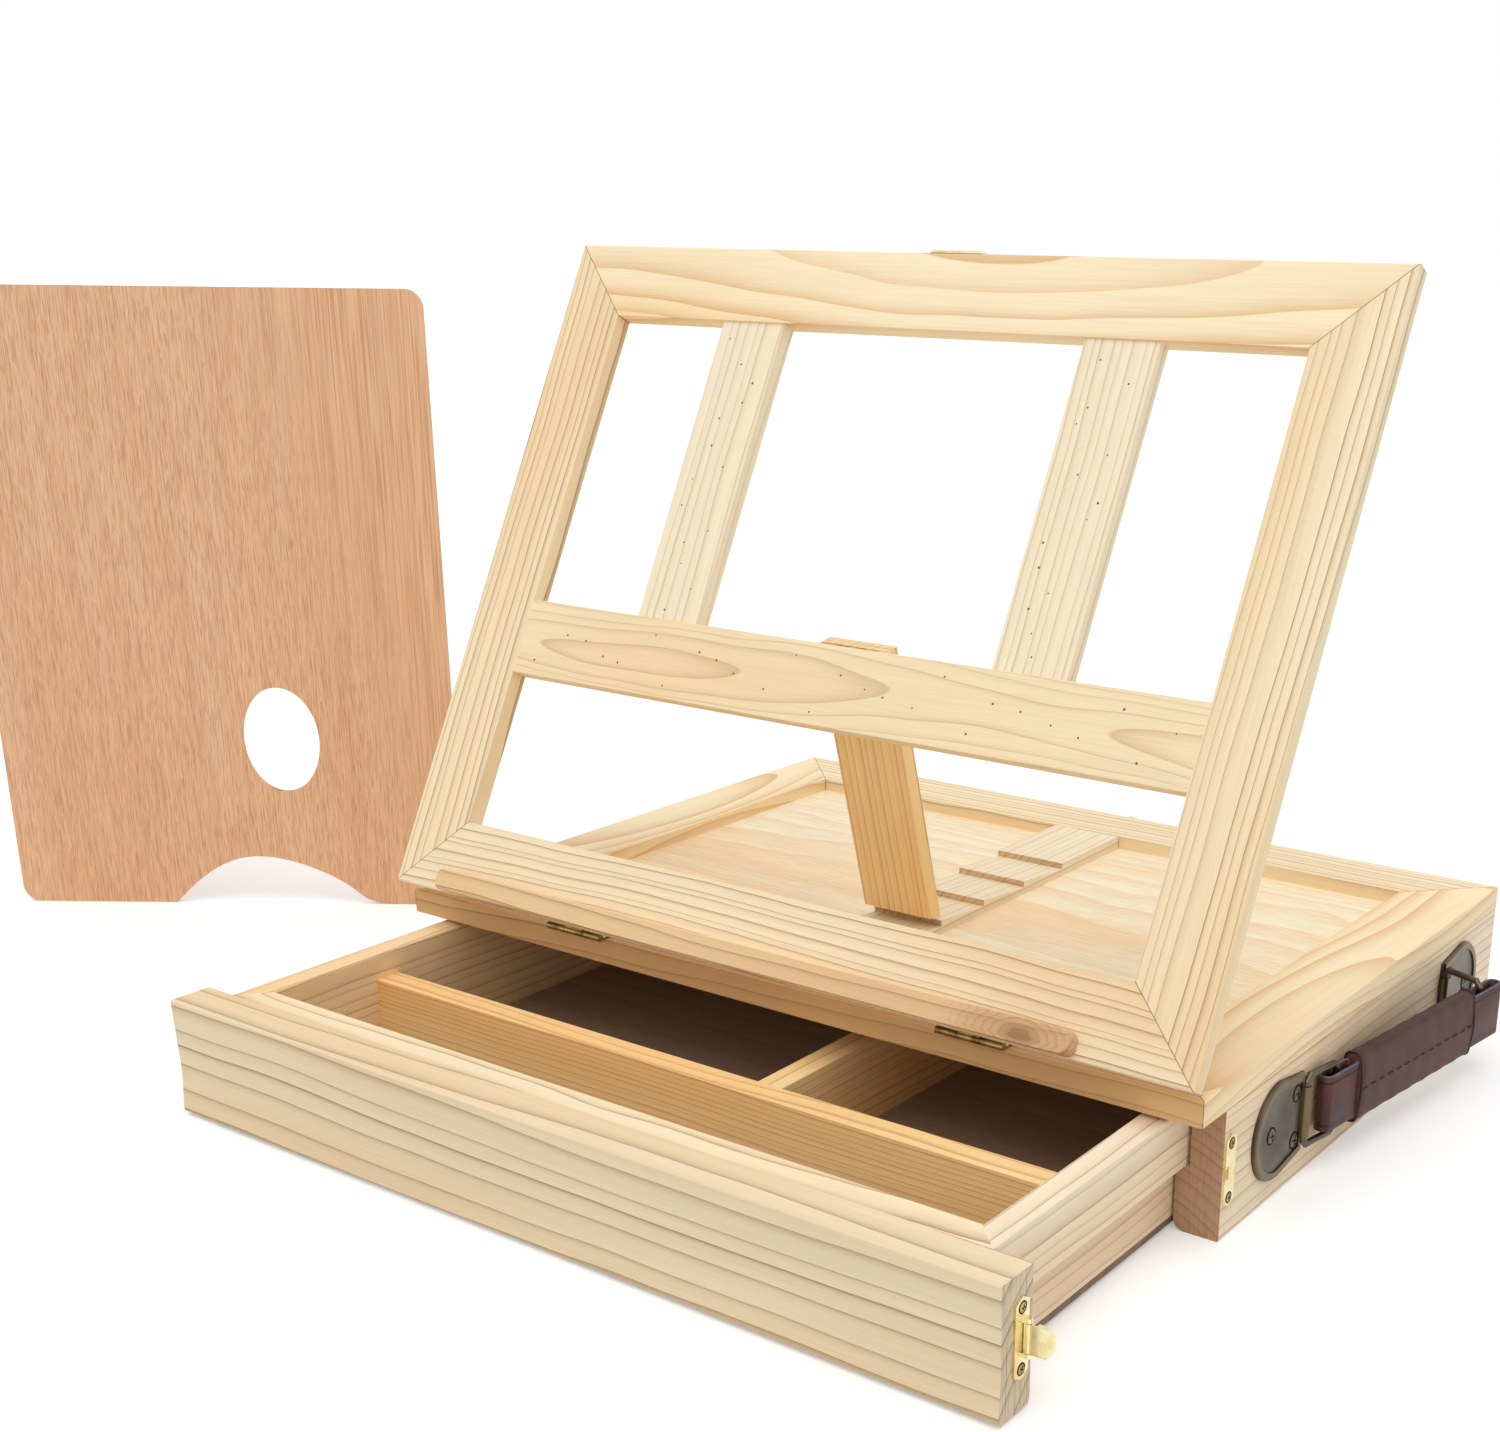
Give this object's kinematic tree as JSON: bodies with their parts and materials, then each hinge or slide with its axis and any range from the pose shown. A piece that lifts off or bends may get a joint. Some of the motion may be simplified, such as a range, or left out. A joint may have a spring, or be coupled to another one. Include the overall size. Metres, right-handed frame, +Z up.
{
  "type": "box easel",
  "caption": "Wooden table easel on a shallow case with a sliding drawer, a tilting open frame held by a hinged prop in a ratchet, a strap handle and a loose palette.",
  "frame": {"origin": "middle of the board's outline, on the flat underside that the case stands on", "axes": "+X to the right, along the drawer face; +Y from the drawer face to the back of the case; +Z up"},
  "size_m": [0.7675, 0.4579, 0.357],
  "materials": {
    "pine": "sanded, unvarnished pine with fine straight grain",
    "warm_pine": "sanded, unvarnished, darker pine",
    "plywood": "sanded thin plywood",
    "palette_wood": "sanded reddish plywood with short upright grain",
    "brass": "bright stamped brass plate",
    "bronze": "antique bronze finish, worn lighter on edges",
    "strap_leather": "smooth dark reddish-brown leather with stitching"
  },
  "bodies": {
    "case": {"case_wall_left": "pine", "case_wall_right": "pine", "case_back": "pine", "board_rail_front": "pine", "board_rail_back": "pine", "board_stile_left": "pine", "board_stile_right": "pine", "board_panel": "plywood", "ratchet_board": "pine", "drawer_keeper": "brass", "back_keeper": "brass", "handle_plate_front": "bronze", "handle_plate_rear": "bronze", "hinge_lower_leaf_left": "brass", "hinge_lower_leaf_right": "brass"},
    "drawer": {"drawer_face": "pine", "drawer_front": "pine", "drawer_side_left": "pine", "drawer_side_right": "pine", "drawer_back": "pine", "drawer_bottom": "plywood", "divider_long": "warm_pine", "divider_cross": "warm_pine", "drawer_catch_plate": "brass", "drawer_catch_pin": "brass"},
    "drawer_catch": {"drawer_catch_arm": "brass"},
    "easel": {"frame_rail_bottom": "pine", "frame_rail_top": "pine", "frame_stile_left": "pine", "frame_stile_right": "pine", "mid_rail": "pine", "batten_left": "pine", "batten_right": "pine", "canvas_ledge": "pine", "hinge_upper_leaf_left": "brass", "hinge_upper_leaf_right": "brass", "hinge_pins": "brass", "frame_catch_plate": "brass", "frame_catch_pin": "brass", "prop_hinge_leaf_rail": "brass", "prop_hinge_pin": "brass"},
    "frame_catch": {"frame_catch_arm": "brass"},
    "prop": {"prop_leg": "warm_pine", "prop_hinge_leaf_leg": "brass"},
    "front_ring": {"handle_ring_front": "bronze"},
    "rear_ring": {"handle_ring_rear": "bronze"},
    "strap": {"handle_strap": "strap_leather"},
    "palette": {"palette": "palette_wood"}
  },
  "joints": [
    {"name": "drawer_slide", "type": "slide", "parent": "case", "child": "drawer", "axis": [0, -1, 0], "range_m": [-0.138, 0.07]},
    {"name": "drawer_catch_swing", "type": "hinge", "parent": "drawer", "child": "drawer_catch", "pos_m": [0.2126, -0.2808, 0.0295], "axis": [0, 0, 1], "range_deg": [-80, 90]},
    {"name": "easel_tilt", "type": "hinge", "parent": "case", "child": "easel", "pos_m": [0, -0.1584, 0.06805], "axis": [1, 0, 0], "range_deg": [-62.5, 0]},
    {"name": "prop_swing", "type": "hinge", "parent": "easel", "child": "prop", "pos_m": [0, -0.09107, 0.19782], "axis": [1, 0, 0], "range_deg": [0, 143.75]},
    {"name": "frame_catch_swing", "type": "hinge", "parent": "easel", "child": "frame_catch", "pos_m": [0.004, -0.01317, 0.35569], "axis": [1, 0, 0], "range_deg": [-16, 150]},
    {"name": "handle_swing", "type": "hinge", "parent": "case", "child": "front_ring", "pos_m": [0.2123, -0.067, 0.0305], "axis": [0, 0, -1], "range_deg": [0, 40]},
    {"name": "strap_swing", "type": "hinge", "parent": "front_ring", "child": "strap", "pos_m": [0.21595, -0.04632, 0.0305], "axis": [0, 0, -1], "range_deg": [-45.45, 0]},
    {"name": "palette_lift", "type": "slide", "parent": "case", "child": "palette", "axis": [0, 0, 1], "range_m": [0, 0.2]},
    {"name": "rear_ring_swing", "type": "hinge", "parent": "case", "child": "rear_ring", "pos_m": [0.2123, 0.0855, 0.0305], "axis": [0, 0, 1], "range_deg": [0, 19.25]}
  ],
  "couplings": [
    {"joint": "prop_swing", "follows": "easel_tilt", "ratio": -2.3},
    {"joint": "strap_swing", "follows": "handle_swing", "ratio": -1.135},
    {"joint": "rear_ring_swing", "follows": "handle_swing", "ratio": 0.48}
  ]
}
